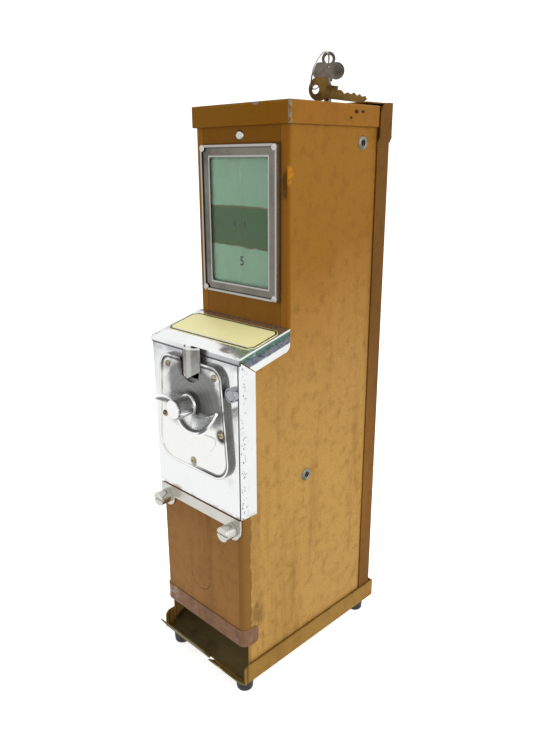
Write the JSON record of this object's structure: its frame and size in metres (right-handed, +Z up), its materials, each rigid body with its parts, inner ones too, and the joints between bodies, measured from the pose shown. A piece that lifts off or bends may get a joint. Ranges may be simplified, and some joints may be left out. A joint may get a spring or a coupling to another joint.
{
  "type": "stamp vending machine",
  "caption": "Narrow stepped counter stamp vending machine with coin turning handle, card window, sloped label shelf, delivery mouth and locked lift-off back.",
  "frame": {"origin": "on the surface the feet stand on, below the middle of the box around the whole part", "axes": "+Z up, the front with the handle faces -Y, +X to the right seen from the front"},
  "size_m": [0.1224, 0.2191, 0.5769],
  "materials": {
    "brass_paint": "hammered gold paint, worn",
    "tan_paint": "hammered gold paint, worn",
    "band_paint": "worn reddish brown paint",
    "lid_paint": "hammered gold paint, chipped edges",
    "door_paint": "hammered gold paint",
    "plain_steel": "zinc plated sheet",
    "dark_steel": "dull casting",
    "chute_steel": "dark worn paint",
    "frame_nickel": "dull nickel with bright edges",
    "glass": "clear flat glass",
    "card": "faded printed card",
    "nickel": "worn nickel",
    "chrome": "bright chrome, lightly scratched",
    "label": "printed plate",
    "cast_plate": "cast plate with turning marks",
    "brass_screw": "dulled brass",
    "shroud_metal": "dark worn nickel",
    "rubber": "matte black",
    "eyelet_nickel": "dull nickel",
    "handle_chrome": "polished chrome",
    "brass": "machined brass",
    "dark_chrome": "dark chrome",
    "key_nickel": "tarnished nickel",
    "key_brass": "tarnished brass"
  },
  "bodies": {
    "case": {"base_tray": "brass_paint", "case_left": "tan_paint", "case_right": "tan_paint", "lower_front": "tan_paint", "shelf_panel": "tan_paint", "upper_front": "tan_paint", "upper_strips": "tan_paint", "corner_bends": "tan_paint", "front_band": "band_paint", "lid": "lid_paint", "striker": "plain_steel", "window_frame": "frame_nickel", "window_glass": "glass", "price_card": "card", "frame_screws": "nickel", "front_screw": "nickel", "front_cover": "chrome", "hood": "chrome", "instruction_label": "label", "face_plate": "cast_plate", "plate_screws": "brass_screw", "coin_shroud": "shroud_metal", "clamp_strap": "chrome", "strap_studs": "chrome", "strap_nuts": "plain_steel", "rubber_feet": "rubber", "foot_screws": "plain_steel", "side_eyelets": "eyelet_nickel", "shaft_bracket": "plain_steel", "magazine_shelf": "plain_steel", "magazine": "plain_steel", "folder_duct": "plain_steel", "delivery_chute": "chute_steel", "coin_guide": "plain_steel", "button_bushing": "dark_chrome", "cash_box": "brass_paint"},
    "turner": {"handle": "handle_chrome", "drive_shaft": "plain_steel", "coin_wheel": "brass", "pinion": "brass"},
    "ejector": {"ejector_slide": "plain_steel"},
    "button": {"return_button": "dark_chrome"},
    "door": {"rear_door": "door_paint", "door_flanges": "door_paint", "door_ears": "door_paint", "door_top": "door_paint", "lock_body": "nickel", "lock_nut": "plain_steel"},
    "lock": {"lock_plug": "nickel", "lock_cam": "plain_steel", "cam_screw": "plain_steel", "tubular_key": "key_nickel"},
    "keys": {"key_ring": "plain_steel", "flat_key": "key_brass"},
    "follower": {"follower": "dark_steel"}
  },
  "joints": [
    {"name": "handle_turn", "type": "hinge", "parent": "case", "child": "turner", "pos_m": [0, -0.08375, 0.2807], "axis": [0, 1, 0], "range_deg": [0, 180]},
    {"name": "ejector_travel", "type": "slide", "parent": "case", "child": "ejector", "axis": [1, 0, 0], "range_m": [0, 0.04251]},
    {"name": "button_press", "type": "slide", "parent": "case", "child": "button", "axis": [0, 1, 0], "range_m": [0, 0.003], "stiffness_N_per_m": 300},
    {"name": "door_lift", "type": "slide", "parent": "case", "child": "door", "axis": [0, 0, 1], "range_m": [0, 0.56]},
    {"name": "lock_turn", "type": "hinge", "parent": "door", "child": "lock", "pos_m": [0, 0.08625, 0.5306], "axis": [0, 0, 1], "range_deg": [-90, 0]},
    {"name": "key_swing", "type": "hinge", "parent": "lock", "child": "keys", "pos_m": [0, 0.08625, 0.5706], "axis": [0, 0, 1], "range_deg": [0, 30]},
    {"name": "follower_lift", "type": "slide", "parent": "case", "child": "follower", "axis": [0, 0, 1], "range_m": [0, 0.16]}
  ],
  "couplings": [
    {"joint": "ejector_travel", "follows": "handle_turn", "m_per_rad": 0.0135}
  ]
}
